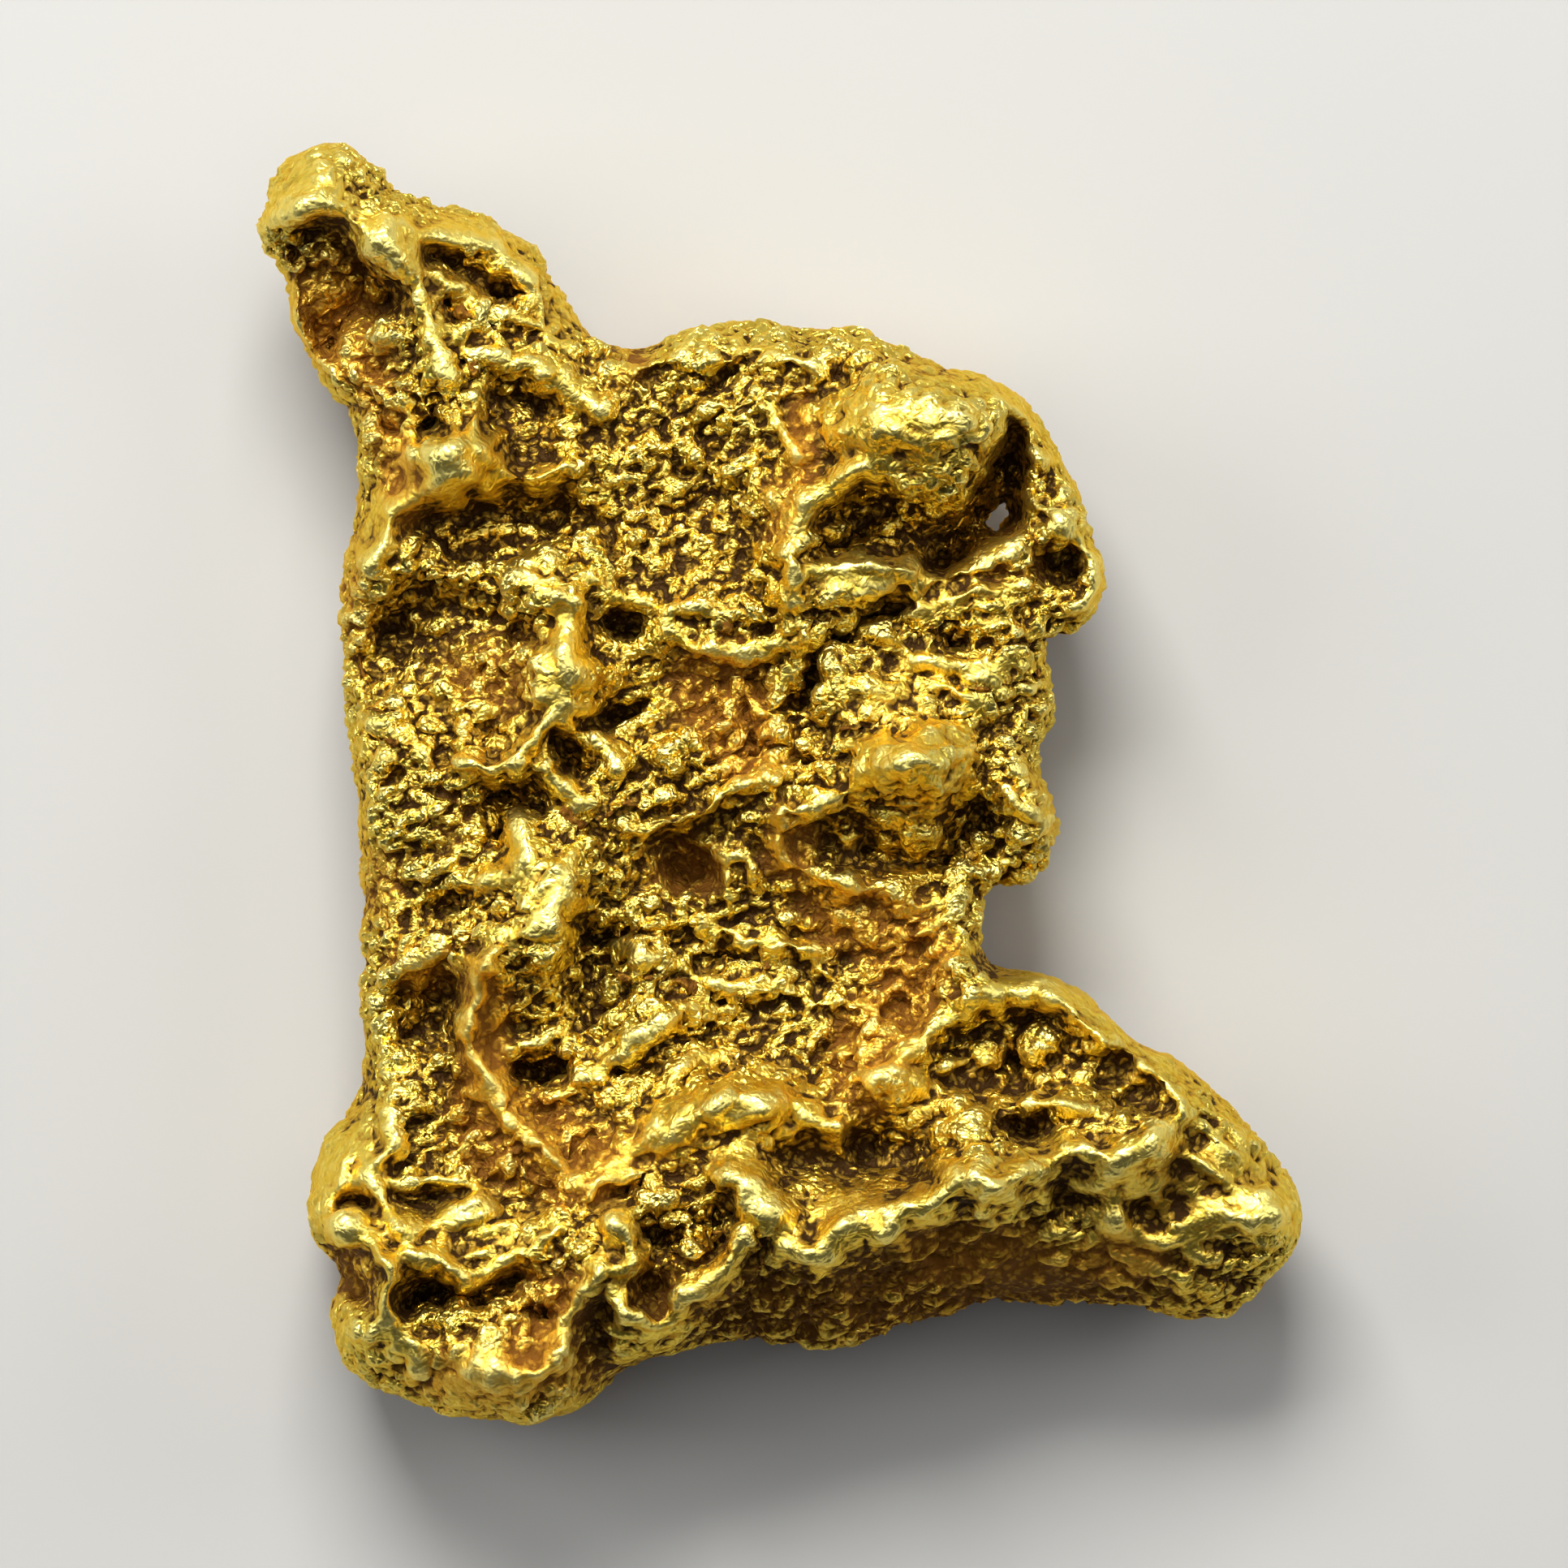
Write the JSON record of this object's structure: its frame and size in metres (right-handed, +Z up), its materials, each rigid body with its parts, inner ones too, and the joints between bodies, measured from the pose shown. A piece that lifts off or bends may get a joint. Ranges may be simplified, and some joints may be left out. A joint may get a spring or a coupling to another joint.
{
  "type": "gold nugget",
  "caption": "Water-worn native gold nugget: a flat, hackly slab with a horn at one corner and a long toe at the other, lying on its broad back.",
  "frame": {"origin": "middle of the bounding box's base, on the surface that the nugget rests on", "axes": "+Y towards the horn, along the nugget's length; +X across it, towards the toe; +Z up, out of the broad face that is seen"},
  "size_m": [0.0254, 0.0314, 0.0084],
  "materials": {
    "native_gold": "water-worn native gold, bright on the crests and iron-stained in the recesses"
  },
  "bodies": {
    "root": {"nugget": "native_gold"}
  },
  "joints": []
}
